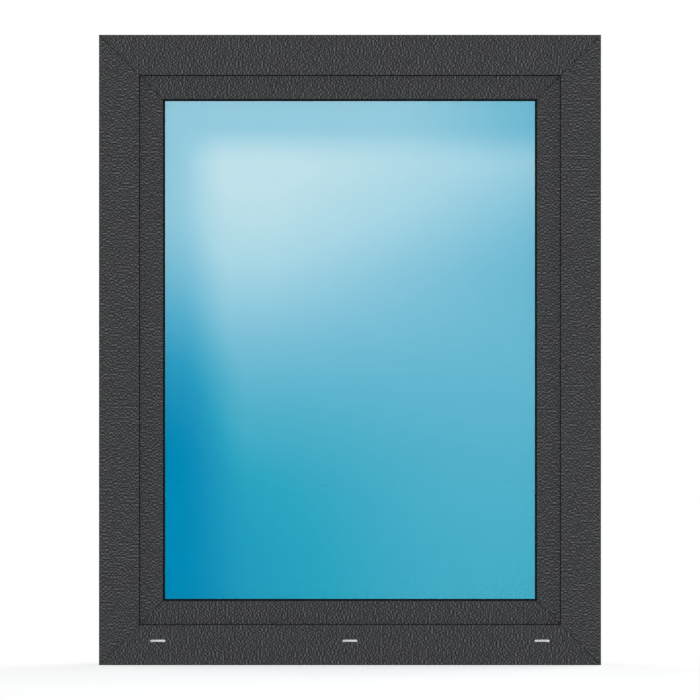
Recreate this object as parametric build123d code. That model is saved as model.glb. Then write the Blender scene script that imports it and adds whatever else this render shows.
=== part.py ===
from build123d import *
import os

# A single-sash window of hollow plastic profiles: an outer frame and a glazed sash, each of four
# bars mitred and welded at the corners. X runs to the right as seen from outside, Y from outside
# to the room and Z up. The origin is the middle of the frame's underside.
#
# Every section is drawn in the same two coordinates: depth runs from the frame's outside face
# towards the room, and height from the frame's outer edge towards the middle of the glass.

# Driving dimensions, in millimetres
WINDOW_WIDTH = 900.0
WINDOW_HEIGHT = 1130.0

# Plastic walls
WALL = 3.0
WEB = 2.0
OUTER_EDGE_RADIUS = 0.5
FACE_EDGE_RADIUS = 1.2
SMALL_RADIUS = 1.0
STEEL_THICKNESS = 1.5
STEEL_CLEARANCE = 0.3
STEEL_HEADROOM = 3.0
STEEL_END_GAP = 6.0

# Outer frame profile
FRAME_DEPTH = 70.0
FRAME_FACE = 72.0
FLANGE_THICKNESS = 14.5
REBATE_HEIGHT = 22.5
DRAIN_FALL = 3.0
STRIKER_LAND = 22.0
REAR_CHAMBER = 14.0
CLIP_PITCH = 34.0
CLIP_MOUTH = 9.0
CLIP_UNDERCUT = 13.0
CLIP_LIP = 1.8
CLIP_DEPTH = 5.0

# Sash profile
SASH_FACE = 41.1
REBATE_AIR = 12.0
LEG_OVERLAP = 8.0
LEG_THICKNESS = 14.5
LEG_EDGE_RADIUS = 4.0
GLASS_FLANGE_THICKNESS = 13.0
GLASS_REBATE_HEIGHT = 22.0
HARDWARE_AXIS = 13.0
HARDWARE_SEAT_WIDTH = 16.0
HARDWARE_SEAT_DEPTH = 3.0
HARDWARE_GROOVE_WIDTH = 12.0
HARDWARE_GROOVE_DEPTH = 9.0

# Rubber seals
CLOSING_GAP = 3.5
CLOSING_LINE = 1.1
GLAZING_GAP = 4.0
GLAZING_LINE = 3.4
BEAD_LINE = 2.0
SEAL_GROOVE_WIDTH = 3.6
SEAL_GROOVE_DEPTH = 2.0
SEAL_CLEARANCE = 0.2
SEAL_INSET = 6.0
SEAL_HEEL = 3.0
SEAL_TIP_RADIUS = 1.2

# Insulating glass
PANE_THICKNESS = 4.0
CAVITY = 16.0
GLASS_EDGE_GAP = 5.0
SETTING_BLOCK_LENGTH = 100.0
SETTING_BLOCK_CORNER_DISTANCE = 60.0
SPACER_HEIGHT = 6.5
SPACER_BEVEL = 2.0
EDGE_SEAL_HEIGHT = 4.5

# Glazing beads
BEAD_SETBACK = 3.0
BEAD_SHOULDER = 7.0
BEAD_TOP = 8.0
BEAD_RADIUS = 4.0
BEAD_FOOT_WIDTH = 3.0
BEAD_FOOT_DEPTH = 4.0
BEAD_FOOT_INSET = 6.0
BEAD_CLEARANCE = 0.2

# Trimmed weld along each mitre
WELD_GROOVE_WIDTH = 1.6
WELD_GROOVE_DEPTH = 0.5

# Drain slots in the bottom of the frame, and their caps
DRAIN_LENGTH = 27.0
DRAIN_WIDTH = 4.4
DRAIN_HEIGHT = 43.6
DRAIN_EDGE_DISTANCE = 105.7
DRAIN_CLEARANCE = 0.1
CAP_PROUD = 0.6
CAP_TAIL = 2.5
CAP_EDGE_BEVEL = 0.4
WEEP_LENGTH = 18.0
WEEP_WIDTH = 0.6

# Handle on the room side
ROSETTE_WIDTH = 30.0
ROSETTE_HEIGHT = 70.0
ROSETTE_THICKNESS = 11.0
ROSETTE_CORNER = 14.0
ROSETTE_BEVEL = 2.0
COLLAR_RADIUS = 12.0
COLLAR_LENGTH = 5.0
COLLAR_BEVEL = 1.0
LEVER_REACH = 34.0
LEVER_DROP = 118.0
LEVER_BEND_RADIUS = 20.0
LEVER_WIDTH = 19.0
LEVER_THICKNESS = 13.0
LEVER_END_BEVEL = 2.0

# Hinges on the room side
HINGE_RADIUS = 6.5
HINGE_LEG_CLEARANCE = 1.5
HINGE_FACE_CLEARANCE = 2.5
HINGE_BEARING_HEIGHT = 34.0
HINGE_ARM_HEIGHT = 42.0
HINGE_RUNNING_GAP = 0.5
HINGE_CORNER_DISTANCE = 22.0
HINGE_BASE_WIDTH = 11.0
HINGE_COVER_RADIUS = 6.0
HINGE_PLATE_THICKNESS = 3.0
HINGE_PLATE_REACH = 22.0
HINGE_PLATE_CORNER = 6.0
HINGE_PLATE_BEVEL = 0.8
HINGE_END_BEVEL = 1.0

# Worked out heights, from the frame's outer edge towards the glass
rebate_floor = FRAME_FACE - REBATE_HEIGHT
edge_wall = CLIP_DEPTH + WALL
sash_back = rebate_floor + REBATE_AIR
leg_tip = rebate_floor - LEG_OVERLAP
glass_tip = FRAME_FACE + CLOSING_LINE + SASH_FACE
glass_floor = glass_tip - GLASS_REBATE_HEIGHT
glass_edge = glass_floor + GLASS_EDGE_GAP

# Worked out depths, from the frame's outside face towards the room
sash_front = FLANGE_THICKNESS + CLOSING_GAP
leg_front = FRAME_DEPTH + CLOSING_GAP
sash_room = leg_front + LEG_THICKNESS
glass_flange_back = sash_front + GLASS_FLANGE_THICKNESS
outer_pane_front = glass_flange_back + GLAZING_GAP
cavity_front = outer_pane_front + PANE_THICKNESS
cavity_back = cavity_front + CAVITY
inner_pane_back = cavity_back + PANE_THICKNESS
bead_front = inner_pane_back + GLAZING_GAP
bead_room = sash_room - BEAD_SETBACK


# Drawing helpers
def slab(depth_from, depth_to, height_from, height_to):
    """A rectangle of a section, from its corners."""
    middle = Pos((depth_from + depth_to) / 2, (height_from + height_to) / 2)
    return middle * Rectangle(depth_to - depth_from, height_to - height_from)


def outline(*corners):
    """A closed polygon of a section, from its corners as (depth, height)."""
    return make_face(Polyline(*corners, close=True))


def rounded(section, radius, *corners):
    """The section with the named corners rounded."""
    chosen = [section.vertices().sort_by_distance((depth, height, 0))[0] for depth, height in corners]
    return fillet(chosen, radius)


def mitred(section, length):
    """A bar along X with 45 degree ends, whose outer edge is as long as the window's side."""
    top = section.bounding_box().max.Y
    blank = extrude(Plane.YZ * section, amount=length / 2, both=True)
    blank = Pos(0, -FRAME_DEPTH / 2, 0) * blank
    end = length / 2
    trapezoid = outline((-end, 0), (end, 0), (end - top, top), (top - end, top))
    reach = FRAME_DEPTH + sash_room
    return blank & extrude(Plane.XZ * trapezoid, amount=reach, both=True)


def square_cut(section, length):
    """A bar along X with square ends that stop short of the mitres."""
    top = section.bounding_box().max.Y
    bar = extrude(Plane.YZ * section, amount=length / 2 - top - STEEL_END_GAP, both=True)
    return Pos(0, -FRAME_DEPTH / 2, 0) * bar


def welded(section, length, front, back):
    """A mitred bar whose outside and room faces are grooved along the mitres, where the weld is trimmed."""
    end, top = length / 2, section.bounding_box().max.Y
    width = WELD_GROOVE_WIDTH / 2**0.5
    strip = outline((end - width, 0), (end + width, 0), (end + width - top, top), (end - width - top, top))
    groove = extrude(Plane.XZ * (strip + mirror(strip, about=Plane.YZ)), amount=WELD_GROOVE_DEPTH, both=True)
    bar = mitred(section, length)
    for depth in (front, back):
        bar -= Pos(0, depth - FRAME_DEPTH / 2, 0) * groove
    return bar


def around(cut, section, *faces):
    """Four bars of one section, each made by the given cut and placed on its side of the window."""
    across = cut(section, WINDOW_WIDTH, *faces)
    upright = cut(section, WINDOW_HEIGHT, *faces)
    side, middle = WINDOW_WIDTH / 2, WINDOW_HEIGHT / 2
    return {
        "bottom": across,
        "top": Pos(0, 0, WINDOW_HEIGHT) * Rot(0, 180, 0) * across,
        "left": Pos(-side, 0, middle) * Rot(0, 90, 0) * upright,
        "right": Pos(side, 0, middle) * Rot(0, -90, 0) * upright,
    }


def ring(section):
    """One endless piece of a section, such as a seal that runs round all four sides."""
    bars = around(mitred, section)
    return bars["bottom"] + bars["left"] + bars["top"] + bars["right"]


# Sections
def seal_groove(face_depth, height, into):
    """The groove that a seal's foot is pressed into; into is +1 towards the room and -1 to outside."""
    ends = sorted((face_depth, face_depth + into * SEAL_GROOVE_DEPTH))
    return slab(*ends, height - SEAL_GROOVE_WIDTH / 2, height + SEAL_GROOVE_WIDTH / 2)


def seal_section(face_depth, far_depth, height, heel, tip):
    """A seal: a foot in its groove in the face, and a lip from heel to tip across the gap."""
    into = 1 if face_depth > far_depth else -1
    foot_ends = sorted((face_depth, face_depth + into * (SEAL_GROOVE_DEPTH - SEAL_CLEARANCE)))
    half_foot = SEAL_GROOVE_WIDTH / 2 - SEAL_CLEARANCE
    near, far = sorted((face_depth, far_depth))
    lip = slab(near, far, heel, tip)
    lip = rounded(lip, SEAL_TIP_RADIUS, (near, tip), (far, tip))
    return lip + slab(*foot_ends, height - half_foot, height + half_foot)


frame_seal_height = FRAME_FACE - SEAL_INSET
glazing_seal_height = glass_tip - SEAL_INSET
sash_seal_height = leg_tip + SEAL_INSET


def frame_chambers():
    """The hollows of the frame, each from its lowest to its highest depth and height."""
    front_back = FLANGE_THICKNESS - SEAL_GROOVE_DEPTH - WALL
    rear_front = FRAME_DEPTH - WALL - REAR_CHAMBER
    ceiling = rebate_floor - DRAIN_FALL - WALL
    half_way = (edge_wall + ceiling) / 2
    return {
        "front lower": (WALL, front_back, edge_wall, half_way - WEB / 2),
        "front upper": (WALL, front_back, half_way + WEB / 2, FRAME_FACE - WALL),
        "steel": (front_back + WEB, rear_front - WEB, edge_wall, ceiling),
        "rear lower": (rear_front, FRAME_DEPTH - WALL, edge_wall, half_way - WEB / 2),
        "rear upper": (rear_front, FRAME_DEPTH - WALL, half_way + WEB / 2, ceiling),
    }


def frame_section():
    """The outer frame: a body with a sloping rebate floor, and a flange outside the sash."""
    body = outline(
        (0, 0),
        (FRAME_DEPTH, 0),
        (FRAME_DEPTH, rebate_floor),
        (FRAME_DEPTH - STRIKER_LAND, rebate_floor),
        (FLANGE_THICKNESS, rebate_floor - DRAIN_FALL),
        (FLANGE_THICKNESS, FRAME_FACE),
        (0, FRAME_FACE),
    )
    body = rounded(body, OUTER_EDGE_RADIUS, (0, 0), (FRAME_DEPTH, 0))
    body = rounded(body, FACE_EDGE_RADIUS, (0, FRAME_FACE), (FRAME_DEPTH, rebate_floor))
    body = rounded(body, SMALL_RADIUS, (FLANGE_THICKNESS, FRAME_FACE))
    for middle in (FRAME_DEPTH / 2 - CLIP_PITCH / 2, FRAME_DEPTH / 2 + CLIP_PITCH / 2):
        body -= slab(middle - CLIP_MOUTH / 2, middle + CLIP_MOUTH / 2, 0, CLIP_LIP)
        body -= slab(middle - CLIP_UNDERCUT / 2, middle + CLIP_UNDERCUT / 2, CLIP_LIP, CLIP_DEPTH)
    for chamber in frame_chambers().values():
        body -= slab(*chamber)
    return body - seal_groove(FLANGE_THICKNESS, frame_seal_height, -1)


bead_foot_front = bead_room - BEAD_FOOT_INSET - BEAD_FOOT_WIDTH
bead_foot_back = bead_room - BEAD_FOOT_INSET
bead_groove_floor = glass_floor - BEAD_FOOT_DEPTH - BEAD_CLEARANCE
hardware_axis = leg_front - HARDWARE_AXIS


def sash_chambers():
    """The hollows of the sash, each from its lowest to its highest depth and height."""
    front_back = glass_flange_back - SEAL_GROOVE_DEPTH - WALL
    hardware_front = hardware_axis - HARDWARE_SEAT_WIDTH / 2
    room_front = leg_front + SEAL_GROOVE_DEPTH + WALL
    return {
        "flange": (sash_front + WALL, front_back, glass_floor, glass_tip - WALL),
        "front": (sash_front + WALL, front_back, sash_back + WALL, glass_floor - WEB),
        "steel": (front_back + WEB, hardware_front - WEB, sash_back + WALL, glass_floor - WALL),
        "hardware": (
            hardware_front, room_front - WEB,
            sash_back + HARDWARE_GROOVE_DEPTH + WALL, bead_groove_floor - WALL,
        ),
        "leg": (room_front, sash_room - WALL, leg_tip + WALL, sash_back + WALL - WEB),
        "room": (room_front, sash_room - WALL, sash_back + WALL, bead_groove_floor - WALL),
    }


def sash_section():
    """The sash: a core with a glass flange outside and a leg that laps over the frame in the room."""
    body = outline(
        (sash_front, sash_back),
        (leg_front, sash_back),
        (leg_front, leg_tip),
        (sash_room, leg_tip),
        (sash_room, glass_floor),
        (glass_flange_back, glass_floor),
        (glass_flange_back, glass_tip),
        (sash_front, glass_tip),
    )
    face_corners = ((sash_front, sash_back), (sash_front, glass_tip), (sash_room, glass_floor))
    body = rounded(body, FACE_EDGE_RADIUS, *face_corners)
    body = rounded(body, LEG_EDGE_RADIUS, (sash_room, leg_tip))
    body = rounded(body, SMALL_RADIUS, (leg_front, leg_tip), (glass_flange_back, glass_tip))

    seat = (HARDWARE_SEAT_WIDTH, HARDWARE_SEAT_DEPTH)
    groove = (HARDWARE_GROOVE_WIDTH, HARDWARE_GROOVE_DEPTH)
    for width, bottom in (seat, groove):
        body -= slab(hardware_axis - width / 2, hardware_axis + width / 2, sash_back, sash_back + bottom)
    body -= slab(
        bead_foot_front - BEAD_CLEARANCE, bead_foot_back + BEAD_CLEARANCE, bead_groove_floor, glass_floor
    )
    for chamber in sash_chambers().values():
        body -= slab(*chamber)
    body -= seal_groove(glass_flange_back, glazing_seal_height, -1)
    return body - seal_groove(leg_front, sash_seal_height, 1)


def bead_section():
    """A glazing bead: a bevelled hollow strip whose foot snaps into the sash beside the glass."""
    body = outline(
        (bead_front, glass_floor),
        (bead_room, glass_floor),
        (bead_room, glass_floor + BEAD_SHOULDER),
        (bead_front + BEAD_TOP, glass_tip),
        (bead_front, glass_tip),
    )
    bevel_ends = ((bead_room, glass_floor + BEAD_SHOULDER), (bead_front + BEAD_TOP, glass_tip))
    body = rounded(body, BEAD_RADIUS, *bevel_ends)
    body += slab(bead_foot_front, bead_foot_back, glass_floor - BEAD_FOOT_DEPTH, glass_floor)
    groove_back = bead_front + SEAL_GROOVE_DEPTH + WEB
    body -= outline(
        (groove_back, glass_floor + WEB),
        (bead_room - WEB, glass_floor + WEB),
        (bead_room - WEB, glass_floor + BEAD_SHOULDER - WEB),
        (groove_back, glass_tip - BEAD_TOP),
    )
    return body - seal_groove(bead_front, glazing_seal_height, 1)


def spacer_section():
    """The aluminium bar that holds the panes apart, with its two corners against the seal bevelled."""
    low = glass_edge + EDGE_SEAL_HEIGHT
    bar = slab(cavity_front, cavity_back, low, low + SPACER_HEIGHT)
    corners = [bar.vertices().sort_by_distance((depth, low, 0))[0] for depth in (cavity_front, cavity_back)]
    return chamfer(corners, SPACER_BEVEL)


def edge_seal_section():
    """The sealant between the panes, which fills up to the spacer bar and its bevels."""
    low = glass_edge + EDGE_SEAL_HEIGHT
    return slab(cavity_front, cavity_back, glass_edge, low + SPACER_BEVEL) - spacer_section()


def steel_section(chamber):
    """A steel channel that lies in a chamber, open towards the glass."""
    depth_from, depth_to, height_from, height_to = chamber
    depth_from, depth_to = depth_from + STEEL_CLEARANCE, depth_to - STEEL_CLEARANCE
    height_from, height_to = height_from + STEEL_CLEARANCE, height_to - STEEL_HEADROOM
    inside_depths = (depth_from + STEEL_THICKNESS, depth_to - STEEL_THICKNESS)
    inside = slab(*inside_depths, height_from + STEEL_THICKNESS, height_to)
    return slab(depth_from, depth_to, height_from, height_to) - inside


# Pieces
def frame_bars():
    """The four bars of the outer frame, with the drain slots cut through the face of the bottom one."""
    bars = around(welded, frame_section(), 0, FRAME_DEPTH)
    slot = extrude(Plane.XZ * SlotOverall(DRAIN_LENGTH, DRAIN_WIDTH), amount=-WALL)
    for x in drain_places().values():
        bars["bottom"] -= Pos(x, -FRAME_DEPTH / 2, DRAIN_HEIGHT) * slot
    return {
        "frame_sill": bars["bottom"],
        "frame_head": bars["top"],
        "frame_jamb_left": bars["left"],
        "frame_jamb_right": bars["right"],
    }


def sash_bars():
    """The four bars of the sash."""
    bars = around(welded, sash_section(), sash_front, sash_room)
    return {
        "sash_bottom_rail": bars["bottom"],
        "sash_top_rail": bars["top"],
        "sash_stile_left": bars["left"],
        "sash_stile_right": bars["right"],
    }


def steel_bars():
    """The steel channels that stiffen the frame and the sash from inside."""
    frame_steel = around(square_cut, steel_section(frame_chambers()["steel"]))
    sash_steel = around(square_cut, steel_section(sash_chambers()["steel"]))
    return {
        **{f"frame_steel_{side}": bar for side, bar in frame_steel.items()},
        **{f"sash_steel_{side}": bar for side, bar in sash_steel.items()},
    }


def glazing_beads():
    """The four beads that hold the glass in from the room."""
    return {f"glazing_bead_{side}": bar for side, bar in around(mitred, bead_section()).items()}


def seals():
    """The four endless rubber seals."""
    frame_seal = seal_section(
        FLANGE_THICKNESS, sash_front, frame_seal_height,
        frame_seal_height - SEAL_HEEL, FRAME_FACE + CLOSING_LINE,
    )
    sash_seal = seal_section(
        leg_front, FRAME_DEPTH, sash_seal_height,
        sash_seal_height - SEAL_HEEL, sash_seal_height + SEAL_HEEL,
    )
    glazing_seal = seal_section(
        glass_flange_back, outer_pane_front, glazing_seal_height,
        glazing_seal_height - SEAL_HEEL, glass_tip + GLAZING_LINE,
    )
    bead_seal = seal_section(
        bead_front, inner_pane_back, glazing_seal_height,
        glazing_seal_height - SEAL_HEEL, glass_tip + BEAD_LINE,
    )
    return {
        "frame_seal": ring(frame_seal),
        "sash_seal": ring(sash_seal),
        "glazing_seal": ring(glazing_seal),
        "bead_seal": ring(bead_seal),
    }


def pane(front):
    """One sheet of glass, from the depth of its outside face."""
    sheet = Box(WINDOW_WIDTH - 2 * glass_edge, PANE_THICKNESS, WINDOW_HEIGHT - 2 * glass_edge)
    return Pos(0, front + PANE_THICKNESS / 2 - FRAME_DEPTH / 2, WINDOW_HEIGHT / 2) * sheet


def insulating_glass():
    """Two panes, the spacer bar between them and the sealant behind it."""
    return {
        "outer_pane": pane(outer_pane_front),
        "inner_pane": pane(cavity_back),
        "spacer_bar": ring(spacer_section()),
        "edge_seal": ring(edge_seal_section()),
    }


def setting_blocks():
    """The blocks between the glass and the sash, two under the glass and two above it."""
    block = Box(SETTING_BLOCK_LENGTH, inner_pane_back - outer_pane_front, GLASS_EDGE_GAP)
    x = WINDOW_WIDTH / 2 - glass_edge - SETTING_BLOCK_CORNER_DISTANCE - SETTING_BLOCK_LENGTH / 2
    y = (inner_pane_back + outer_pane_front - FRAME_DEPTH) / 2
    low = glass_floor + GLASS_EDGE_GAP / 2
    return {
        "setting_block_bottom_left": Pos(-x, y, low) * block,
        "setting_block_bottom_right": Pos(x, y, low) * block,
        "setting_block_top_left": Pos(-x, y, WINDOW_HEIGHT - low) * block,
        "setting_block_top_right": Pos(x, y, WINDOW_HEIGHT - low) * block,
    }


def drain_places():
    """Where the drain slots lie along the bottom of the frame."""
    reach = WINDOW_WIDTH / 2 - DRAIN_EDGE_DISTANCE
    return {"left": -reach, "centre": 0.0, "right": reach}


def drain_caps():
    """A pale plug in each drain slot, cut away underneath to let the water out."""
    width = DRAIN_WIDTH - 2 * DRAIN_CLEARANCE
    shape = SlotOverall(DRAIN_LENGTH - 2 * DRAIN_CLEARANCE, width)
    shape -= Pos(0, (WEEP_WIDTH - width) / 2) * Rectangle(WEEP_LENGTH, WEEP_WIDTH)
    cap = extrude(Plane.XZ * shape, amount=CAP_PROUD + WALL + CAP_TAIL)
    cap = chamfer(cap.faces().sort_by(Axis.Y)[0].outer_wire().edges(), CAP_EDGE_BEVEL)
    return {
        f"drain_cap_{name}": Pos(x, WALL + CAP_TAIL - FRAME_DEPTH / 2, DRAIN_HEIGHT) * cap
        for name, x in drain_places().items()
    }


def room_plane(x, depth, z):
    """A plane that faces the room, with its Y up."""
    return Plane(origin=(x, depth - FRAME_DEPTH / 2, z), x_dir=(-1, 0, 0), z_dir=(0, 1, 0))


def handle():
    """The handle on the room side of the left stile, pointing down as it does when shut."""
    x = -WINDOW_WIDTH / 2 + (leg_tip + glass_floor) / 2
    z = WINDOW_HEIGHT / 2
    rosette = extrude(
        room_plane(x, sash_room, z) * RectangleRounded(ROSETTE_WIDTH, ROSETTE_HEIGHT, ROSETTE_CORNER),
        amount=ROSETTE_THICKNESS,
    )
    rosette = chamfer(rosette.faces().sort_by(Axis.Y)[-1].edges(), ROSETTE_BEVEL)

    foot = sash_room + ROSETTE_THICKNESS
    collar = extrude(room_plane(x, foot, z) * Circle(COLLAR_RADIUS), amount=COLLAR_LENGTH)
    collar = chamfer(collar.faces().sort_by(Axis.Y)[-1].edges(), COLLAR_BEVEL)
    start = Vector(x, foot - FRAME_DEPTH / 2, z)
    elbow = start + Vector(0, LEVER_REACH, 0)
    path = FilletPolyline(start, elbow, elbow - Vector(0, 0, LEVER_DROP), radius=LEVER_BEND_RADIUS)
    lever = sweep(room_plane(x, foot, z) * Ellipse(LEVER_WIDTH / 2, LEVER_THICKNESS / 2), path=path)
    lever = chamfer(lever.faces().sort_by(Axis.Z)[0].edges(), LEVER_END_BEVEL)
    return {"handle_rosette": rosette, "handle_lever": collar + lever}


def hinge_piece(plan, split, free_end):
    """A hinge piece from its plan, from where the hinge is split to its free end, which is bevelled."""
    solid = Pos(0, 0, split) * extrude(plan, amount=free_end - split, dir=(0, 0, 1))
    end_face = solid.faces().filter_by(Axis.Z).sort_by_distance((0, 0, free_end))[0]
    return chamfer(end_face.edges(), HINGE_END_BEVEL)


def hinge_plate(height_from, height_to, low, high):
    """The plate of a hinge arm, which is screwed to the room face of the right stile."""
    middle = room_plane(WINDOW_WIDTH / 2 - (height_from + height_to) / 2, sash_room, (low + high) / 2)
    shape = RectangleRounded(height_to - height_from, high - low, HINGE_PLATE_CORNER)
    plate = extrude(middle * shape, amount=HINGE_PLATE_THICKNESS)
    return chamfer(plate.faces().sort_by(Axis.Y)[-1].edges(), HINGE_PLATE_BEVEL)


def hinges():
    """The two hinges on the room side of the right stile: a bearing on the frame and an arm on the sash."""
    pin_height = leg_tip - HINGE_LEG_CLEARANCE - HINGE_RADIUS
    pin_depth = FRAME_DEPTH + HINGE_FACE_CLEARANCE + HINGE_RADIUS
    cover_depth = sash_room + HINGE_PLATE_THICKNESS

    def at(section):
        """A section drawn as (depth, height), laid in plan on the right of the window."""
        return Pos(WINDOW_WIDTH / 2, -FRAME_DEPTH / 2, 0) * Rot(0, 0, 90) * section

    barrel = Pos(pin_depth, pin_height) * Circle(HINGE_RADIUS)
    base = slab(FRAME_DEPTH, pin_depth, pin_height - HINGE_BASE_WIDTH / 2, pin_height + HINGE_BASE_WIDTH / 2)
    cover = slab(pin_depth, cover_depth, pin_height - HINGE_RADIUS, pin_height + HINGE_RADIUS)
    cover = rounded(cover, HINGE_COVER_RADIUS, (cover_depth, pin_height - HINGE_RADIUS))

    low = leg_tip + HINGE_CORNER_DISTANCE
    split = low + HINGE_BEARING_HEIGHT
    arm_low = split + HINGE_RUNNING_GAP
    arm_high = arm_low + HINGE_ARM_HEIGHT
    bottom_bearing = hinge_piece(at(barrel + base), split, low)
    bottom_arm = hinge_piece(at(barrel + cover), arm_low, arm_high)
    bottom_arm += hinge_plate(pin_height, leg_tip + HINGE_PLATE_REACH, arm_low, arm_high)
    upside_down = Plane.XY.offset(WINDOW_HEIGHT / 2)
    return {
        "hinge_bottom_bearing": bottom_bearing,
        "hinge_bottom_arm": bottom_arm,
        "hinge_top_bearing": mirror(bottom_bearing, about=upside_down),
        "hinge_top_arm": mirror(bottom_arm, about=upside_down),
    }


os.makedirs("parts", exist_ok=True)
pieces = {
    **frame_bars(),
    **sash_bars(),
    **steel_bars(),
    **glazing_beads(),
    **seals(),
    **insulating_glass(),
    **setting_blocks(),
    **drain_caps(),
    **handle(),
    **hinges(),
}
for name, solid in pieces.items():
    export_step(solid, f"parts/{name}.step")
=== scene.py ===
"""Looks of a casement window in dark grey grained foil, laid out as an add-on and run as a script."""
import math

import bmesh
import bpy
from bpy.props import FloatProperty, FloatVectorProperty, PointerProperty
from bpy.types import Operator, Panel, PropertyGroup
from mathutils import Matrix, Vector


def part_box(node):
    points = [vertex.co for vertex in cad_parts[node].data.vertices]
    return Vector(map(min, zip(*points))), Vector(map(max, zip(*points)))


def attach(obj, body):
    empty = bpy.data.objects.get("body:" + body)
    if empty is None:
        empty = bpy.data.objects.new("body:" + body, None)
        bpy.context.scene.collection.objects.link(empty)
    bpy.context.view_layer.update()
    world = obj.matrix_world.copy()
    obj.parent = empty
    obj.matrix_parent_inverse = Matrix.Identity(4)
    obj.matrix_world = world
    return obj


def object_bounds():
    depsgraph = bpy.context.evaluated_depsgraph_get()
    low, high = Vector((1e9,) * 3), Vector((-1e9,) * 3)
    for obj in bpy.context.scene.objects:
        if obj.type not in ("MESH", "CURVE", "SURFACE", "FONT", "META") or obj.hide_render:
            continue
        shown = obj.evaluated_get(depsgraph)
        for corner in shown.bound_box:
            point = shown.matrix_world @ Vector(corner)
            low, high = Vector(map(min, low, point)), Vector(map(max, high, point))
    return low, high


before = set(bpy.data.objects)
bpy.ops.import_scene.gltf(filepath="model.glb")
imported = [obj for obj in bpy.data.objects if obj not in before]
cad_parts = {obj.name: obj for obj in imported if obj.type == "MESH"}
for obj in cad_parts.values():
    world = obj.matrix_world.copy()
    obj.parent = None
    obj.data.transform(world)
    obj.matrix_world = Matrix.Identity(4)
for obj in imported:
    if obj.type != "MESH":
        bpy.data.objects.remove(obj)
cad_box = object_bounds()

bl_info = {
    "name": "Casement Window Looks",
    "version": (1, 0, 0),
    "blender": (4, 5, 0),
    "location": "View3D > Sidebar > Window",
    "description": "Finishes for a plastic casement window: grained foil, glass, rubber and metal",
    "category": "Material",
}

# The pieces that take each finish
FRAME_RAILS = ("frame_head", "frame_sill")
FRAME_JAMBS = ("frame_jamb_left", "frame_jamb_right")
SASH_RAILS = ("sash_top_rail", "sash_bottom_rail")
SASH_STILES = ("sash_stile_left", "sash_stile_right")
BEAD_RAILS = ("glazing_bead_top", "glazing_bead_bottom")
BEAD_STILES = ("glazing_bead_left", "glazing_bead_right")
SEALS = ("frame_seal", "sash_seal", "glazing_seal", "bead_seal")
DRAIN_CAPS = ("drain_cap_left", "drain_cap_centre", "drain_cap_right")
HANDLE = ("handle_rosette", "handle_lever")
HINGE_BEARINGS = ("hinge_top_bearing", "hinge_bottom_bearing")
HINGE_ARMS = ("hinge_top_arm", "hinge_bottom_arm")
EDGES = ("bottom", "top")
SIDES = ("left", "right")
STEEL_CHANNELS = tuple(f"{bar}_steel_{side}" for bar in ("frame", "sash") for side in EDGES + SIDES)
SETTING_BLOCKS = tuple(f"setting_block_{edge}_{side}" for edge in EDGES for side in SIDES)

# Places in the window, from the frame's own boxes
SILL_LOW, SILL_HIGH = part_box("frame_sill")
HEAD_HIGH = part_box("frame_head")[1]
GLASS_LOW, GLASS_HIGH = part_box("glazing_seal")
SPACER_LOW, SPACER_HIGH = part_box("spacer_bar")
HALF_WIDTH = SILL_HIGH[0]
HALF_HEIGHT = (HEAD_HIGH[2] - SILL_LOW[2]) / 2
OUTSIDE_FACE = SILL_LOW[1]
SASH_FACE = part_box("sash_bottom_rail")[0][1]
SPACER_MIDDLE = (SPACER_LOW[1] + SPACER_HIGH[1]) / 2
MIDDLE = Vector((0.0, 0.0, SILL_LOW[2] + HALF_HEIGHT))

# Both outside faces lie on a whole layer of the grain, so that it is alike on them
LAYERS_TO_SASH = 6
GRAIN_LAYER = (SASH_FACE - OUTSIDE_FACE) / LAYERS_TO_SASH
# How often patterns change in a metre, with one rate for each of X, Y and Z where they are streaks
FOIL_CLOUD_RATE = 22.0
WELD_BREAK_RATE = 140.0
DRAWN_LINE_RATE = 900.0
DRAWN_LINE_RATE_ALONG = 5.0
OUTER_SMEAR_RATES = (6.0, 6.0, 1.5)
INNER_SMEAR_RATES = (5.0, 5.0, 2.0)
METAL_CLOUD_RATE = 30.0
HANDLE_LINE_RATES = (2500.0, 2500.0, 60.0)
HINGE_LINE_RATES = (90.0, 90.0, 2500.0)
SCREW_LINE_RATES = (800.0, 60.0, 800.0)
SPACER_LINE_RATES = (60.0, 900.0, 60.0)
CRYSTAL_RATE = 160.0
ZINC_HAZE_RATE = 400.0
# The painted shade in the mitres' grooves is faintest below the first of these levels of its noise, and
# whole above the second
WELD_BREAK_LEVELS = (0.36, 0.52)
WELD_FAINTEST = 0.25
# Roughness from the glossiest to the dullest places
OUTER_PANE_ROUGHNESS = (0.0, 0.012)
INNER_PANE_ROUGHNESS = (0.0, 0.01)
SATIN_ROUGHNESS = (0.36, 0.5)
SPACER_ROUGHNESS = (0.3, 0.45)
ZINC_ROUGHNESS = (0.34, 0.5)
# How far specks go above and below the roughness of their piece
SPECK_ROUGHNESS = 0.08
# Heights of the reliefs on metal, in metres
BRUSH_RELIEF = 0.00002
SPACER_RELIEF = 0.00003
CRYSTAL_RELIEF = 0.00001
# Below that of real glass, so that the white surroundings don't hide the sky reflection painted in the panes
PANE_IOR = 1.2
# Colour of the painted shade in the mitres' grooves
SHADE_BLACK = (0.0, 0.0, 0.0)
# Colour of the painted shade inside the spacer bar's holes
HOLE_SHADE = (0.02, 0.02, 0.02)
# The lamps light alike from any distance, so this only keeps them out of the way
LAMP_DISTANCE = 4.0
FLOOR_REACH = 14.0


def colour_prop(name, description, default):
    """A colour that a user may change, written as linear red, green and blue."""
    return FloatVectorProperty(
        name=name, description=description, default=default, subtype="COLOR", size=3, min=0.0, max=1.0
    )


def length_prop(name, description, default):
    """A length in metres."""
    return FloatProperty(
        name=name, description=description, default=default, min=0.0, unit="LENGTH", precision=5
    )


def share_prop(name, description, default):
    """A share between nothing and all."""
    return FloatProperty(
        name=name, description=description, default=default, min=0.0, max=1.0, subtype="FACTOR"
    )


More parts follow.
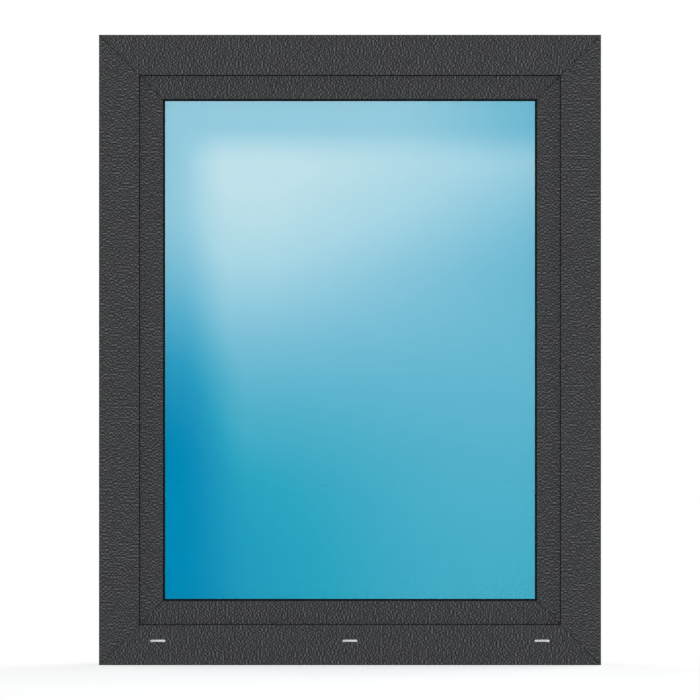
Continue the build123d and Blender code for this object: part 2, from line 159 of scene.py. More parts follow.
def angle_prop(name, description, degrees):
    """An angle, written in degrees and kept in radians."""
    return FloatProperty(name=name, description=description, default=math.radians(degrees), subtype="ANGLE")


def light_prop(name, description, default):
    """The light of a lamp, in watts a square metre."""
    return FloatProperty(name=name, description=description, default=default, min=0.0)


class FoilSettings(PropertyGroup):
    """The grained foil on the outer frame, the sash and the glazing beads."""

    # The darkest and the palest of the grain's colours are painted shade and painted highlight, laid on the
    # slopes that face away from and towards the light
    shaded_slope: colour_prop("Ground", "Colour in the hollows of the grain", (0.0189, 0.0195, 0.0209))
    foil: colour_prop("Foil", "Colour of the foil between hollows and ridges", (0.0338, 0.0351, 0.0380))
    lit_slope: colour_prop("Ridge", "Colour on the ridges of the grain", (0.1230, 0.1253, 0.1317))
    cool: colour_prop("Cool clouds", "Tint of the greenish clouds in the foil", (0.95, 1.0, 0.95))
    warm: colour_prop("Warm clouds", "Tint of the reddish clouds in the foil", (1.0, 0.97, 0.985))
    grain_length: length_prop("Grain length", "Distance between grains along the bar", 0.0035)
    grain_width: length_prop("Grain width", "Distance between grains across the bar", 0.0027)
    grain_shift: length_prop("Grain shift", "How far the light and dark sides of a grain lie apart", 0.0007)
    grain_slope: share_prop("Grain slope", "Slope at which a grain is wholly light or dark", 0.24)
    relief: length_prop("Relief", "Height of the grain", 0.00010)
    roughness: share_prop("Roughness", "Dullness of the foil", 0.65)
    roughness_spread: share_prop("Roughness spread", "How much duller hollows are and glossier ridges", 0.06)
    gloss: share_prop("Gloss", "How strongly the foil mirrors", 0.12)
    # Painted shade in the groove along each mitre: how dark, and how wide
    weld: share_prop("Weld", "How dark the trimmed welds are along the mitres", 0.7)
    weld_shade_width: length_prop("Weld width", "Width of the dark line along each mitre", 0.0018)
    plastic: colour_prop("Plastic", "Colour of the bare outer edges of the frame", (0.046, 0.047, 0.050))
    bare_depth: length_prop("Bare depth", "How far the bare plastic reaches into the outer edges", 0.006)


class GlassSettings(PropertyGroup):
    """The insulating glass, with the sky's reflection painted on its outer pane."""

    # The colours from Glare to Deep blue paint the sky's reflection into the outer pane
    glare: colour_prop("Glare", "Palest part of the sky", (0.620, 0.838, 0.915))
    sky: colour_prop("Sky", "Pale sky along the top", (0.464, 0.750, 0.867))
    haze: colour_prop("Haze", "Middle of the sky on the right", (0.238, 0.596, 0.770))
    lagoon: colour_prop("Lagoon", "Bottom of the sky on the right", (0.109, 0.512, 0.684))
    teal: colour_prop("Teal", "Bottom of the sky in the middle", (0.030, 0.443, 0.618))
    azure: colour_prop("Azure", "Middle of the sky on the left", (0.109, 0.489, 0.700))
    blue: colour_prop("Blue", "Lower part of the sky on the left", (0.033, 0.388, 0.618))
    deep: colour_prop("Deep blue", "Bottom of the sky on the left", (0.0, 0.301, 0.548))
    clearness: share_prop("Clearness", "Share of the light that passes the outer pane", 0.75)
    coating: colour_prop("Coating", "Tint of what the outer pane reflects", (0.06, 0.75, 1.0))
    inner_tint: colour_prop("Inner tint", "Faint green of the inner pane", (0.93, 0.975, 0.965))


class TrimSettings(PropertyGroup):
    """Rubber, metal and small plastic pieces."""

    rubber: colour_prop("Rubber", "Colour of the seals", (0.005, 0.0062, 0.0070))
    sealant: colour_prop("Sealant", "Colour of the sealant behind the spacer bar", (0.016, 0.016, 0.017))
    drain_cap: colour_prop("Drain cap", "Colour of the caps in the drain slots", (0.67, 0.67, 0.67))
    metal: colour_prop("Metal", "Colour of the handle and hinges", (0.50, 0.50, 0.51))
    spacer: colour_prop("Spacer", "Colour of the spacer bar", (0.62, 0.63, 0.64))
    zinc: colour_prop("Zinc", "Colour of the brightest crystals on the steel channels", (0.55, 0.56, 0.58))
    block: colour_prop("Setting block", "Colour of the blocks that carry the glass", (0.05, 0.16, 0.42))
    hole_pitch: length_prop("Hole pitch", "Distance from one hole of the spacer bar to the next", 0.0035)
    hole_width: length_prop("Hole width", "Width of a hole in the spacer bar", 0.0009)
    screw_radius: length_prop("Screw radius", "Radius of a screw's head on the hinges", 0.0038)
    screw_rise: length_prop("Screw rise", "Height of a screw's head", 0.0013)
    screw_pitch: length_prop("Screw pitch", "Distance between the two screws of a hinge", 0.024)
    screw_inset: length_prop("Screw inset", "Distance from a hinge plate's edge to its screws", 0.011)
    recess_turn: angle_prop("Recess turn", "How far the cross in a screw's head is turned", 20.0)


class StageSettings(PropertyGroup):
    """Camera, floor and light."""

    view_width: length_prop("View width", "Width of the picture at the frame's face", 1.2547)
    view_distance: length_prop("View distance", "Distance from the camera to the frame's face", 10.465)
    floor: colour_prop("Floor", "Colour of the floor", (0.6, 0.6, 0.6))
    floor_glow: share_prop("Floor glow", "White that the floor shows beyond the light on it", 0.66)
    front_light: light_prop("Front light", "Light of the lamp in front of the window, in W/m2", 2.4)
    front_spread: angle_prop("Front spread", "Width of the front lamp as the window sees it", 5.0)
    top_light: light_prop("Top light", "Light of the lamp above the window, in W/m2", 0.7)
    top_spread: angle_prop("Top spread", "Width of the top lamp as the window sees it", 60.0)
    room_light: light_prop("Room light", "Light of the brighter lamp on the room side, in W/m2", 2.8)
    room_fill: light_prop("Room fill", "Light of the fainter lamp on the room side, in W/m2", 1.2)
    room_spread: angle_prop("Room spread", "Width of a room lamp as the window sees it", 80.0)
    room_side: angle_prop("Room side", "How far each room lamp stands to the side", 55.0)
    lamp_rise: angle_prop("Lamp rise", "How high the front and room lamps stand", 2.5)
    world_level: share_prop("World level", "Light that the white surroundings give", 0.12)


class Nodes:
    """A node tree under construction: adds nodes and joins them."""

    def __init__(self, tree):
        self.tree = tree

    def new(self, kind):
        """A new node of one of Blender's kinds."""
        return self.tree.nodes.new(kind)

    def feed(self, socket, value):
        """Sets a socket to a constant, or joins it to another node's output."""
        if isinstance(value, bpy.types.NodeSocket):
            self.tree.links.new(value, socket)
        elif socket.type == "RGBA":
            socket.default_value = (*value, 1.0)
        else:
            socket.default_value = value

    def operate(self, kind, operation, values):
        """A node that works out one value from others."""
        node = self.new(kind)
        node.operation = operation
        for socket, value in zip(node.inputs, values):
            self.feed(socket, value)
        return node.outputs[0]

    def math(self, operation, *values):
        """A Math node."""
        return self.operate("ShaderNodeMath", operation, values)

    def vector(self, operation, *values):
        """A Vector Math node."""
        return self.operate("ShaderNodeVectorMath", operation, values)

    def remap(self, value, low, high, to_low=0.0, to_high=1.0, smooth=False):
        """A Map Range node, held between its ends."""
        node = self.new("ShaderNodeMapRange")
        node.interpolation_type = "SMOOTHSTEP" if smooth else "LINEAR"
        self.feed(node.inputs["Value"], value)
        self.feed(node.inputs["From Min"], low)
        self.feed(node.inputs["From Max"], high)
        self.feed(node.inputs["To Min"], to_low)
        self.feed(node.inputs["To Max"], to_high)
        return node.outputs["Result"]


class Finish(Nodes):
    """A procedural material round one Principled shader."""

    def __init__(self, name):
        self.material = bpy.data.materials.new(name)
        self.material.use_nodes = True
        super().__init__(self.material.node_tree)
        self.tree.nodes.clear()
        self.shader = self.new("ShaderNodeBsdfPrincipled")
        output = self.new("ShaderNodeOutputMaterial")
        self.feed(output.inputs["Surface"], self.shader.outputs["BSDF"])
        coordinates = self.new("ShaderNodeTexCoord")
        self.place = coordinates.outputs["Object"]
        self.normal = coordinates.outputs["Normal"]

    def axes(self, vector):
        """The three numbers of a vector."""
        node = self.new("ShaderNodeSeparateXYZ")
        self.feed(node.inputs[0], vector)
        return tuple(node.outputs)

    def noise(self, place, rate, detail=2.0, roughness=0.5):
        """A Noise Texture node, from how often it changes in a metre."""
        node = self.new("ShaderNodeTexNoise")
        self.feed(node.inputs["Vector"], place)
        self.feed(node.inputs["Scale"], rate)
        self.feed(node.inputs["Detail"], detail)
        self.feed(node.inputs["Roughness"], roughness)
        return node.outputs["Fac"]

    def streaks(self, rates, detail, roughness=0.5):
        """A noise that changes at its own rate along each of X, Y and Z."""
        return self.noise(self.vector("MULTIPLY", self.place, rates), 1.0, detail, roughness)

    def spread(self, noise, low=0.0, high=1.0):
        """The span that holds most of a noise, stretched to two values."""
        return self.remap(noise, 0.3, 0.7, low, high)

    def crystals(self, rate):
        """A Voronoi Texture node, with one random number for each cell."""
        node = self.new("ShaderNodeTexVoronoi")
        self.feed(node.inputs["Vector"], self.place)
        self.feed(node.inputs["Scale"], rate)
        return self.axes(node.outputs["Color"])[0]

    def mix(self, share, first, second, blend="MIX"):
        """A Mix node for two colours."""
        node = self.new("ShaderNodeMix")
        node.data_type = "RGBA"
        node.blend_type = blend
        # The node's sockets for numbers and vectors come between its share and its colours
        for socket, value in ((node.inputs[0], share), (node.inputs[6], first), (node.inputs[7], second)):
            self.feed(socket, value)
        return node.outputs[2]

    def ramp(self, value, stops):
        """A Color Ramp node from (place, colour) pairs."""
        node = self.new("ShaderNodeValToRGB")
        self.feed(node.inputs[0], value)
        elements = node.color_ramp.elements
        while len(elements) < len(stops):
            elements.new(0.5)
        for element, (place, colour) in zip(elements, stops):
            element.position = place
            element.color = (*colour, 1.0)
        return node.outputs["Color"]

    def bump(self, height, distance):
        """A Bump node, joined to the shader."""
        node = self.new("ShaderNodeBump")
        self.feed(node.inputs["Strength"], 1.0)
        self.feed(node.inputs["Distance"], distance)
        self.feed(node.inputs["Height"], height)
        self.feed(self.shader.inputs["Normal"], node.outputs["Normal"])

    def shade(self, **sockets):
        """Sets or joins sockets of the shader by name, with _ for a space."""
        for name, value in sockets.items():
            self.feed(self.shader.inputs[name.replace("_", " ")], value)


def dress(names, material):
    """Gives CAD nodes a material on their own slots, with their meshes as they are."""
    for name in names:
        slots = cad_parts[name].material_slots
        if not slots:
            raise RuntimeError(f"{name} has no slot for a material")
        for slot in slots:
            slot.link = "OBJECT"
            slot.material = material


def scaled(colour, factor):
    """A colour made darker or lighter."""
    return tuple(min(1.0, factor * channel) for channel in colour)


def bare_edges(finish, depth):
    """A number that is 1 on the frame's outer edges, where the wall hides the bars."""
    x, _, z = finish.axes(finish.place)
    past_side = finish.math("SUBTRACT", finish.math("ABSOLUTE", x), HALF_WIDTH - depth)
    from_middle = finish.math("SUBTRACT", z, MIDDLE.z)
    past_end = finish.math("SUBTRACT", finish.math("ABSOLUTE", from_middle), HALF_HEIGHT - depth)
    outermost = finish.math("GREATER_THAN", finish.math("MAXIMUM", past_side, past_end), 0.0)
    # The faces to the outside and to the room keep their foil up to the edge
    facing = finish.math("ABSOLUTE", finish.axes(finish.normal)[1])
    return finish.math("MULTIPLY", outermost, finish.math("LESS_THAN", facing, 0.5))


def weld_groove_shade(finish, width):
    """A number of up to 1 along the mitres, for the painted shade in their grooves, which fades to 0 beside
    them.
    """
    x, _, z = finish.axes(finish.place)
    from_side = finish.math("SUBTRACT", HALF_WIDTH, finish.math("ABSOLUTE", x))
    from_middle = finish.math("ABSOLUTE", finish.math("SUBTRACT", z, MIDDLE.z))
    from_end = finish.math("SUBTRACT", HALF_HEIGHT, from_middle)
    off_mitre = finish.math("ABSOLUTE", finish.math("SUBTRACT", from_side, from_end))
    reach = width / 2 * math.sqrt(2.0)
    line = finish.remap(off_mitre, 0.5 * reach, reach, 1.0, 0.0, smooth=True)
    breaks = finish.noise(finish.place, WELD_BREAK_RATE, detail=1.0)
    return finish.math("MULTIPLY", line, finish.remap(breaks, *WELD_BREAK_LEVELS, WELD_FAINTEST, 1.0))


def foil_finish(name, settings, upright, welded=False, bare=False):
    """Foil embossed across the bar, its slopes painted with highlight and shade, painted shade along the
    mitres and bare outer edges where asked.
    """
    finish = Finish(name)
    length, width = settings.grain_length, settings.grain_width
    along = Vector((0.0, 0.0, 1.0)) if upright else Vector((1.0, 0.0, 0.0))
    shift = along * settings.grain_shift / length
    spans = (width, GRAIN_LAYER, length) if upright else (length, GRAIN_LAYER, width)
    from_face = finish.vector("SUBTRACT", finish.place, (0.0, OUTSIDE_FACE, 0.0))
    grains = finish.vector("DIVIDE", from_face, spans)
    near = finish.noise(finish.vector("ADD", grains, shift), 1.0, detail=0.0)
    far = finish.noise(finish.vector("SUBTRACT", grains, shift), 1.0, detail=0.0)
    # The difference of two shifted noises is the grain's slope along the bar; the colour paints highlight on
    # slopes facing the light and shade on the others
    slope = finish.math("SUBTRACT", near, far)
    grain = finish.remap(slope, -settings.grain_slope, settings.grain_slope)

    colours = ((0.0, settings.shaded_slope), (0.5, settings.foil), (1.0, settings.lit_slope))
    clouds = finish.noise(finish.place, FOIL_CLOUD_RATE, detail=1.0)
    tint = finish.ramp(clouds, ((0.3, settings.cool), (0.7, settings.warm)))
    colour = finish.mix(1.0, finish.ramp(grain, colours), tint, blend="MULTIPLY")
    height = near
    if welded:
        # Painted shade in the grooves along the mitres, laid over the foil's colour
        weld = finish.math("MULTIPLY", weld_groove_shade(finish, settings.weld_shade_width), settings.weld)
        colour = finish.mix(weld, colour, SHADE_BLACK)
    if bare:
        mask = bare_edges(finish, settings.bare_depth)
        rates = [DRAWN_LINE_RATE_ALONG if part else DRAWN_LINE_RATE for part in along]
        colour = finish.mix(mask, colour, settings.plastic)
        height = finish.remap(mask, 0.0, 1.0, height, finish.streaks(rates, detail=2.0))
    dullest = settings.roughness + settings.roughness_spread
    glossiest = settings.roughness - settings.roughness_spread
    finish.shade(
        Base_Color=colour,
        Roughness=finish.remap(grain, 0.0, 1.0, dullest, glossiest),
        Specular_IOR_Level=settings.gloss,
    )
    finish.bump(height, settings.relief)
    return finish.material


def painted_sky_reflection(finish, settings):
    """The colours of a painted reflection of the sky on the pane, from how pale it is at each place.

    Each band runs between two shares of the pane's width or height, and between two levels of paleness.
    """
    x, _, z = finish.axes(finish.place)
    across = finish.remap(x, GLASS_LOW[0], GLASS_HIGH[0])
    down = finish.remap(z, GLASS_HIGH[2], GLASS_LOW[2])

    right_side = finish.math(
        "ADD",
        finish.remap(down, 0.0, 0.38, 0.615, 0.315, smooth=True),
        finish.remap(down, 0.41, 1.0, 0.16, 0.0, smooth=True),
    )
    glare = finish.math(
        "MULTIPLY",
        finish.remap(across, 0.295, 1.0, 0.38, 0.0),
        finish.remap(down, 0.225, 0.60, 1.0, 0.0, smooth=True),
    )
    shade = finish.math(
        "MULTIPLY",
        finish.remap(across, 0.0, 0.87, 0.22, 0.0, smooth=True),
        finish.remap(down, 0.52, 0.80, 0.0, 1.0, smooth=True),
    )
    paleness = finish.math("SUBTRACT", finish.math("ADD", right_side, glare), shade)

    top_band = finish.remap(across, 0.58, 1.10, 0.69, 0.48, smooth=True)
    below_top = finish.remap(down, 0.06, 0.15, 0.0, 1.0, smooth=True)
    paleness = finish.remap(below_top, 0.0, 1.0, top_band, paleness)

    left_side = finish.remap(down, 0.19, 0.72, 0.68, 0.0, smooth=True)
    left_reach = finish.remap(down, 0.40, 0.59, 0.195, 0.243, smooth=True)
    off_left = finish.remap(across, 0.044, left_reach, 0.0, 1.0, smooth=True)
    paleness = finish.remap(off_left, 0.0, 1.0, left_side, paleness)

    pale_stops = ((0.555, settings.haze), (0.78, settings.sky), (1.0, settings.glare))
    stops = ((0.0, settings.deep), (0.21, settings.teal), (0.385, settings.lagoon), *pale_stops)
    left_stops = ((0.0, settings.deep), (0.21, settings.blue), (0.385, settings.azure), *pale_stops)
    return finish.mix(off_left, finish.ramp(paleness, left_stops), finish.ramp(paleness, stops))


def outer_glass_finish(settings):
    """The outer pane, with the sky's reflection painted into its colour."""
    finish = Finish("outer_glass")
    smears = finish.streaks(OUTER_SMEAR_RATES, detail=3.0)
    finish.shade(
        Base_Color=painted_sky_reflection(finish, settings),
        Roughness=finish.spread(smears, *OUTER_PANE_ROUGHNESS),
        Transmission_Weight=settings.clearness,
        IOR=PANE_IOR,
        Specular_Tint=settings.coating,
    )
    return finish.material


def inner_glass_finish(settings):
    """The inner pane, nearly clear."""
    finish = Finish("inner_glass")
    smears = finish.streaks(INNER_SMEAR_RATES, detail=3.0)
    finish.shade(
        Base_Color=settings.inner_tint,
        Roughness=finish.spread(smears, *INNER_PANE_ROUGHNESS),
        Transmission_Weight=1.0,
        IOR=PANE_IOR,
    )
    return finish.material


def speckled_finish(name, colour, roughness, speck_size, relief, gloss=0.4):
    """A dull finish with a fine speckle, for rubber, sealant and moulded plastic."""
    finish = Finish(name)
    speck_rate = 1.0 / speck_size
    cloud_rate = 0.06 * speck_rate
    specks = finish.noise(finish.place, speck_rate, detail=3.0, roughness=0.6)
    clouds = finish.noise(finish.place, cloud_rate)
    finish.shade(
        Base_Color=finish.mix(finish.spread(clouds), scaled(colour, 0.82), scaled(colour, 1.15)),
        Roughness=finish.spread(specks, roughness - SPECK_ROUGHNESS, roughness + SPECK_ROUGHNESS),
        Specular_IOR_Level=gloss,
    )
    finish.bump(specks, relief)
    return finish.material


def satin_metal_finish(name, colour, line_rates):
    """Satin metal with fine brush lines along one axis."""
    finish = Finish(name)
    lines = finish.streaks(line_rates, detail=4.0, roughness=0.6)
    clouds = finish.noise(finish.place, METAL_CLOUD_RATE)
    finish.shade(
        Base_Color=finish.mix(finish.spread(clouds), scaled(colour, 0.85), colour),
        Roughness=finish.spread(lines, *SATIN_ROUGHNESS),
        Metallic=1.0,
    )
    finish.bump(lines, BRUSH_RELIEF)
    return finish.material


def spacer_finish(trim):
    """Mill aluminium with a row of small holes along the middle of the bar, which let in the damp, with
    painted shade inside them.
    """
    finish = Finish("spacer_metal")
    x, y, z = finish.axes(finish.place)
    along = finish.math("PINGPONG", finish.math("ADD", x, z), trim.hole_pitch / 2)
    across = finish.math("ABSOLUTE", finish.math("SUBTRACT", y, SPACER_MIDDLE))
    off_hole = finish.math("MAXIMUM", along, across)
    hole = finish.remap(off_hole, 0.4 * trim.hole_width, 0.6 * trim.hole_width, 1.0, 0.0, smooth=True)
    lines = finish.streaks(SPACER_LINE_RATES, detail=4.0)
    metal = finish.mix(lines, scaled(trim.spacer, 0.85), trim.spacer)
    finish.shade(
        # The holes take painted shade in place of the dark inside the bar
        Base_Color=finish.mix(hole, metal, HOLE_SHADE),
        Roughness=finish.spread(lines, *SPACER_ROUGHNESS),
        Metallic=finish.remap(hole, 0.0, 1.0, 1.0, 0.0),
    )
    # The holes go four times as deep as the lines stand high
    finish.bump(finish.remap(hole, 0.0, 1.0, lines, -4.0), SPACER_RELIEF)
    return finish.material


def zinc_finish(name, colour):
    """Zinc-coated steel with a spangle of flat crystals."""
    finish = Finish(name)
    crystals = finish.crystals(CRYSTAL_RATE)
    haze = finish.noise(finish.place, ZINC_HAZE_RATE, detail=3.0)
    finish.shade(
        Base_Color=finish.mix(crystals, scaled(colour, 0.7), colour),
        Roughness=finish.spread(haze, *ZINC_ROUGHNESS),
        Metallic=1.0,
    )
    finish.bump(crystals, CRYSTAL_RELIEF)
    return finish.material


class WINDOW_OT_frame(Operator):
    """Cover the outer frame in grained foil"""

    bl_idname = "window.frame"
    bl_label = "Outer frame"

    def execute(self, context):
        settings = context.scene.window_foil
        dress(FRAME_RAILS, foil_finish("frame_rail_foil", settings, upright=False, welded=True, bare=True))
        dress(FRAME_JAMBS, foil_finish("frame_jamb_foil", settings, upright=True, welded=True, bare=True))
        return {"FINISHED"}


class WINDOW_OT_sash(Operator):
    """Cover the sash in grained foil"""

    bl_idname = "window.sash"
    bl_label = "Sash"

    def execute(self, context):
        settings = context.scene.window_foil
        dress(SASH_RAILS, foil_finish("sash_rail_foil", settings, upright=False, welded=True))
        dress(SASH_STILES, foil_finish("sash_stile_foil", settings, upright=True, welded=True))
        return {"FINISHED"}


class WINDOW_OT_beads(Operator):
    """Cover the glazing beads in grained foil"""

    bl_idname = "window.beads"
    bl_label = "Glazing beads"

    def execute(self, context):
        settings = context.scene.window_foil
        dress(BEAD_RAILS, foil_finish("bead_rail_foil", settings, upright=False))
        dress(BEAD_STILES, foil_finish("bead_stile_foil", settings, upright=True))
        return {"FINISHED"}


class WINDOW_OT_seals(Operator):
    """Make the seals of black rubber"""

    bl_idname = "window.seals"
    bl_label = "Seals"

    def execute(self, context):
        rubber = speckled_finish(
            "black_rubber", context.scene.window_trim.rubber,
            roughness=0.7, speck_size=0.0012, relief=0.00005, gloss=0.1,
        )
        dress(SEALS, rubber)
        return {"FINISHED"}


class WINDOW_OT_glass(Operator):
    """Glaze the sash with two panes, a spacer bar and its sealant"""

    bl_idname = "window.glass"
    bl_label = "Insulating glass"

    def execute(self, context):
        glass, trim = context.scene.window_glass, context.scene.window_trim
        sealant = speckled_finish(
            "edge_sealant", trim.sealant, roughness=0.6, speck_size=0.002, relief=0.0001
        )
        dress(("outer_pane",), outer_glass_finish(glass))
        dress(("inner_pane",), inner_glass_finish(glass))
        dress(("spacer_bar",), spacer_finish(trim))
        dress(("edge_seal",), sealant)
        return {"FINISHED"}


class WINDOW_OT_setting_blocks(Operator):
    """Make the blocks that carry the glass of moulded plastic"""

    bl_idname = "window.setting_blocks"
    bl_label = "Setting blocks"

    def execute(self, context):
        plastic = speckled_finish(
            "setting_block_plastic", context.scene.window_trim.block,
            roughness=0.5, speck_size=0.0015, relief=0.00004,
        )
        dress(SETTING_BLOCKS, plastic)
        return {"FINISHED"}


class WINDOW_OT_steel(Operator):
    """Coat the steel channels in the frame and the sash with zinc"""

    bl_idname = "window.steel"
    bl_label = "Steel channels"

    def execute(self, context):
        dress(STEEL_CHANNELS, zinc_finish("zinc_coated_steel", context.scene.window_trim.zinc))
        return {"FINISHED"}


class WINDOW_OT_drain_caps(Operator):
    """Make the drain caps of pale plastic"""

    bl_idname = "window.drain_caps"
    bl_label = "Drain caps"

    def execute(self, context):
        plastic = speckled_finish(
            "drain_cap_plastic", context.scene.window_trim.drain_cap,
            roughness=0.45, speck_size=0.0008, relief=0.00003,
        )
        dress(DRAIN_CAPS, plastic)
        return {"FINISHED"}


class WINDOW_OT_handle(Operator):
    """Finish the handle in satin metal"""

    bl_idname = "window.handle"
    bl_label = "Handle"

    def execute(self, context):
        metal = context.scene.window_trim.metal
        dress(HANDLE, satin_metal_finish("handle_metal", metal, HANDLE_LINE_RATES))
        return {"FINISHED"}


class WINDOW_OT_hinges(Operator):
    """Finish the hinges in satin metal"""

    bl_idname = "window.hinges"
    bl_label = "Hinges"

    def execute(self, context):
        metal = context.scene.window_trim.metal
        dress(HINGE_BEARINGS + HINGE_ARMS, satin_metal_finish("hinge_metal", metal, HINGE_LINE_RATES))
        return {"FINISHED"}


def plain_object(name, mesh):
    """A mesh made by bmesh, as an object of the scene."""
    data = bpy.data.meshes.new(name)
    mesh.to_mesh(data)
    mesh.free()
    thing = bpy.data.objects.new(name, data)
    bpy.context.scene.collection.objects.link(thing)
    return thing


def domed_head(radius, rise):
    """A screw's head turned about Z, with its flat back at the origin."""
    dome = [(radius * math.sin(turn), rise * math.cos(turn)) for turn in (0.0, 0.3, 0.6, 0.9, 1.1)]
    rim = 0.3 * rise
    outline = [*dome, (radius, rim), (radius, 0.0), (0.0, 0.0)]
    mesh = bmesh.new()
    verts = [mesh.verts.new((out, 0.0, height)) for out, height in outline]
    edges = [mesh.edges.new(pair) for pair in zip(verts, verts[1:])]
    bmesh.ops.spin(
        mesh, geom=verts + edges, cent=(0.0, 0.0, 0.0), axis=(0.0, 0.0, 1.0),
        angle=math.tau, steps=32, use_merge=True,
    )
    bmesh.ops.remove_doubles(mesh, verts=mesh.verts, dist=radius / 1000)
    bmesh.ops.recalc_face_normals(mesh, faces=mesh.faces)
    return plain_object("screw_blank", mesh)


def recess_bar(turn, radius, rise):
    """One of the two bars that cut the cross into a screw's head."""
    length, width, height = 1.2 * radius, 0.26 * radius, 1.2 * rise
    place = Matrix.Translation((0.0, 0.0, rise)) @ Matrix.Diagonal((length, width, height, 1.0))
    mesh = bmesh.new()
    bmesh.ops.create_cube(mesh, size=1.0, matrix=place)
    mesh.transform(Matrix.Rotation(turn, 4, "Z"))
    return plain_object("recess_bar", mesh)


def screw_mesh(radius, rise, recess_turn):
    """A domed screw head with a cross recess, its flat back at the origin and its top along +Y."""
    blank = domed_head(radius, rise)
    bars = [recess_bar(turn, radius, rise) for turn in (recess_turn, recess_turn + math.pi / 2)]
    for bar in bars:
        cut = blank.modifiers.new("recess", "BOOLEAN")
        cut.operation = "DIFFERENCE"
        cut.object = bar
    depsgraph = bpy.context.evaluated_depsgraph_get()
    mesh = bpy.data.meshes.new_from_object(blank.evaluated_get(depsgraph))
    for thing in (blank, *bars):
        bpy.data.meshes.remove(thing.data)
    mesh.transform(Matrix.Rotation(-math.pi / 2, 4, "X"))
    mesh.shade_smooth()
    mesh.set_sharp_from_angle(angle=math.radians(30.0))
    return mesh


class WINDOW_OT_screws(Operator):
    """Screw the hinge arms to the sash"""

    bl_idname = "window.screws"
    bl_label = "Hinge screws"

    def execute(self, context):
        trim = context.scene.window_trim
        metal = satin_metal_finish("screw_metal", trim.metal, SCREW_LINE_RATES)
        mesh = screw_mesh(trim.screw_radius, trim.screw_rise, trim.recess_turn)
        mesh.materials.append(metal)
        for arm in HINGE_ARMS:
            low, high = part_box(arm)
            middle = (low[2] + high[2]) / 2
            for place, offset in (("lower", -trim.screw_pitch / 2), ("upper", trim.screw_pitch / 2)):
                screw = bpy.data.objects.new(f"{arm}_{place}_screw", mesh)
                screw.location = (low[0] + trim.screw_inset, high[1], middle + offset)
                context.scene.collection.objects.link(screw)
                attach(screw, "root")
        return {"FINISHED"}


def shown_strength(nodes, level, shown_level):
    """One strength for rays that light the scene, and one for rays that a camera, mirror or pane shows."""
    path = nodes.new("ShaderNodeLightPath").outputs
    shown = nodes.math("MAXIMUM", path["Is Camera Ray"], path["Is Glossy Ray"])
    shown = nodes.math("MAXIMUM", shown, path["Is Transmission Ray"])
    return nodes.remap(shown, 0.0, 1.0, level, shown_level)


def white_world(light_level):
    """A world that shows white and lights the scene at the given level."""
    world = bpy.data.worlds.new("white_studio")
    world.use_nodes = True
    nodes = Nodes(world.node_tree)
    background = world.node_tree.nodes["Background"]
    nodes.feed(background.inputs["Color"], (1.0, 1.0, 1.0))
    nodes.feed(background.inputs["Strength"], shown_strength(nodes, light_level, 1.0))
    return world


def floor_material(colour, glow):
    """A pale floor that shows white and keeps the shadows."""
    material = bpy.data.materials.new("stage_floor")
    material.use_nodes = True
    material.node_tree.nodes.clear()
    nodes = Nodes(material.node_tree)
    matt = nodes.new("ShaderNodeBsdfDiffuse")
    nodes.feed(matt.inputs["Color"], colour)
    light = nodes.new("ShaderNodeEmission")
    nodes.feed(light.inputs["Strength"], shown_strength(nodes, 0.0, glow))
    both = nodes.new("ShaderNodeAddShader")
    nodes.feed(both.inputs[0], matt.outputs[0])
    nodes.feed(both.inputs[1], light.outputs[0])
    output = nodes.new("ShaderNodeOutputMaterial")
    nodes.feed(output.inputs["Surface"], both.outputs[0])
    return material


def add_floor(material):
    """A square floor under the window."""
    mesh = bpy.data.meshes.new("stage_floor")
    corners = [(FLOOR_REACH * x, FLOOR_REACH * y, 0.0) for x, y in ((-1, -1), (1, -1), (1, 1), (-1, 1))]
    mesh.from_pydata(corners, [], [(0, 1, 2, 3)])
    mesh.materials.append(material)
    floor = bpy.data.objects.new("stage_floor", mesh)
    floor.location.z = cad_box[0][2]
    bpy.context.scene.collection.objects.link(floor)


def aim_at_middle(thing, place):
    """Puts a lamp or camera at a point, looking at the middle of the window."""
    thing.location = place
    thing.rotation_euler = (MIDDLE - Vector(place)).to_track_quat("-Z", "Y").to_euler()
    bpy.context.scene.collection.objects.link(thing)
    return thing


def add_lamp(name, turn, rise, strength, spread):
    """A soft lamp, turned round the window from straight in front, which doesn't show through the panes."""
    lamp = bpy.data.lights.new(name, "SUN")
    lamp.energy = strength
    lamp.angle = spread
    thing = bpy.data.objects.new(name, lamp)
    thing.visible_transmission = False
    direction = Matrix.Rotation(turn, 3, "Z") @ Vector((0.0, -math.cos(rise), math.sin(rise)))
    return aim_at_middle(thing, MIDDLE + LAMP_DISTANCE * direction)


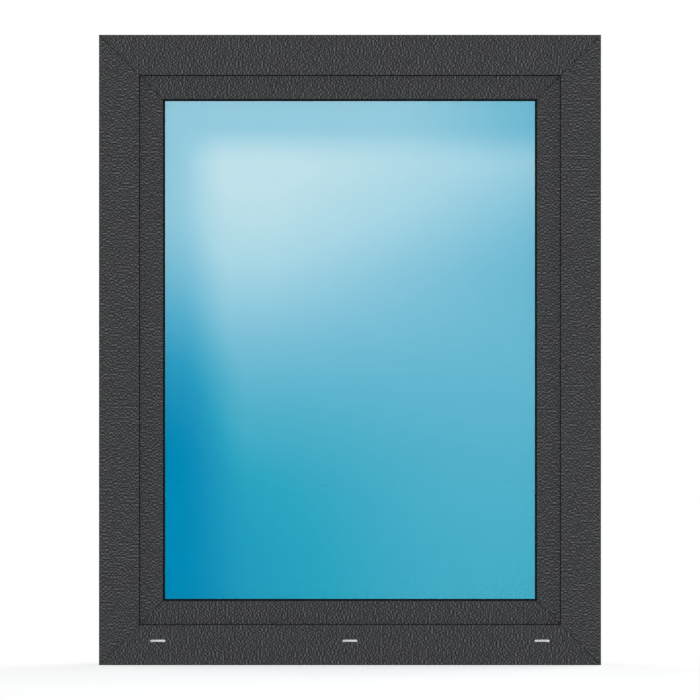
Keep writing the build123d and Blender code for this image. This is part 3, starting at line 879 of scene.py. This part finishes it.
class WINDOW_OT_stage(Operator):
    """Set up the floor, the light and the camera"""

    bl_idname = "window.stage"
    bl_label = "Stage"

    def execute(self, context):
        scene, settings = context.scene, context.scene.window_stage
        scene.view_settings.view_transform = "Standard"
        scene.world = white_world(settings.world_level)
        add_floor(floor_material(settings.floor, settings.floor_glow))

        front = add_lamp("front_lamp", 0.0, settings.lamp_rise, settings.front_light, settings.front_spread)
        # The panes would mirror this lamp straight into the camera
        front.visible_glossy = False
        add_lamp("top_lamp", 0.0, math.pi / 2, settings.top_light, settings.top_spread)
        room_lamps = (("room_lamp", -1.0, settings.room_light), ("room_fill", 1.0, settings.room_fill))
        for name, side, light in room_lamps:
            turn = math.pi + side * settings.room_side
            add_lamp(name, turn, settings.lamp_rise, light, settings.room_spread)

        camera = bpy.data.cameras.new("photo_camera")
        camera.lens = camera.sensor_width * settings.view_distance / settings.view_width
        place = (0.0, OUTSIDE_FACE - settings.view_distance, MIDDLE.z)
        scene.camera = aim_at_middle(bpy.data.objects.new("photo_camera", camera), place)
        return {"FINISHED"}


class WINDOW_PT_looks(Panel):
    """Lists the steps that finish the window, and the sizes and colours that they use"""

    bl_idname = "WINDOW_PT_looks"
    bl_label = "Window looks"
    bl_space_type = "VIEW_3D"
    bl_region_type = "UI"
    bl_category = "Window"

    def draw(self, context):
        for group_name in SETTINGS:
            group = getattr(context.scene, group_name)
            box = self.layout.box()
            for name in group.bl_rna.properties.keys():
                if name not in ("rna_type", "name"):
                    box.prop(group, name)
        for step in STEPS:
            self.layout.operator(step.bl_idname)


SETTINGS = {
    "window_foil": FoilSettings,
    "window_glass": GlassSettings,
    "window_trim": TrimSettings,
    "window_stage": StageSettings,
}
STEPS = (
    WINDOW_OT_frame,
    WINDOW_OT_sash,
    WINDOW_OT_beads,
    WINDOW_OT_seals,
    WINDOW_OT_glass,
    WINDOW_OT_setting_blocks,
    WINDOW_OT_steel,
    WINDOW_OT_drain_caps,
    WINDOW_OT_handle,
    WINDOW_OT_hinges,
    WINDOW_OT_screws,
    WINDOW_OT_stage,
)


def register():
    for group in SETTINGS.values():
        bpy.utils.register_class(group)
    for name, group in SETTINGS.items():
        setattr(bpy.types.Scene, name, PointerProperty(type=group))
    for step in (*STEPS, WINDOW_PT_looks):
        bpy.utils.register_class(step)


def unregister():
    for step in (WINDOW_PT_looks, *reversed(STEPS)):
        bpy.utils.unregister_class(step)
    for name in SETTINGS:
        delattr(bpy.types.Scene, name)
    for group in SETTINGS.values():
        bpy.utils.unregister_class(group)


def main():
    """Finishes the window step by step."""
    register()
    bpy.ops.window.frame()
    bpy.ops.window.sash()
    bpy.ops.window.beads()
    bpy.ops.window.seals()
    bpy.ops.window.glass()
    bpy.ops.window.setting_blocks()
    bpy.ops.window.steel()
    bpy.ops.window.drain_caps()
    bpy.ops.window.handle()
    bpy.ops.window.hinges()
    bpy.ops.window.screws()
    bpy.ops.window.stage()


if __name__ == "__main__":
    main()
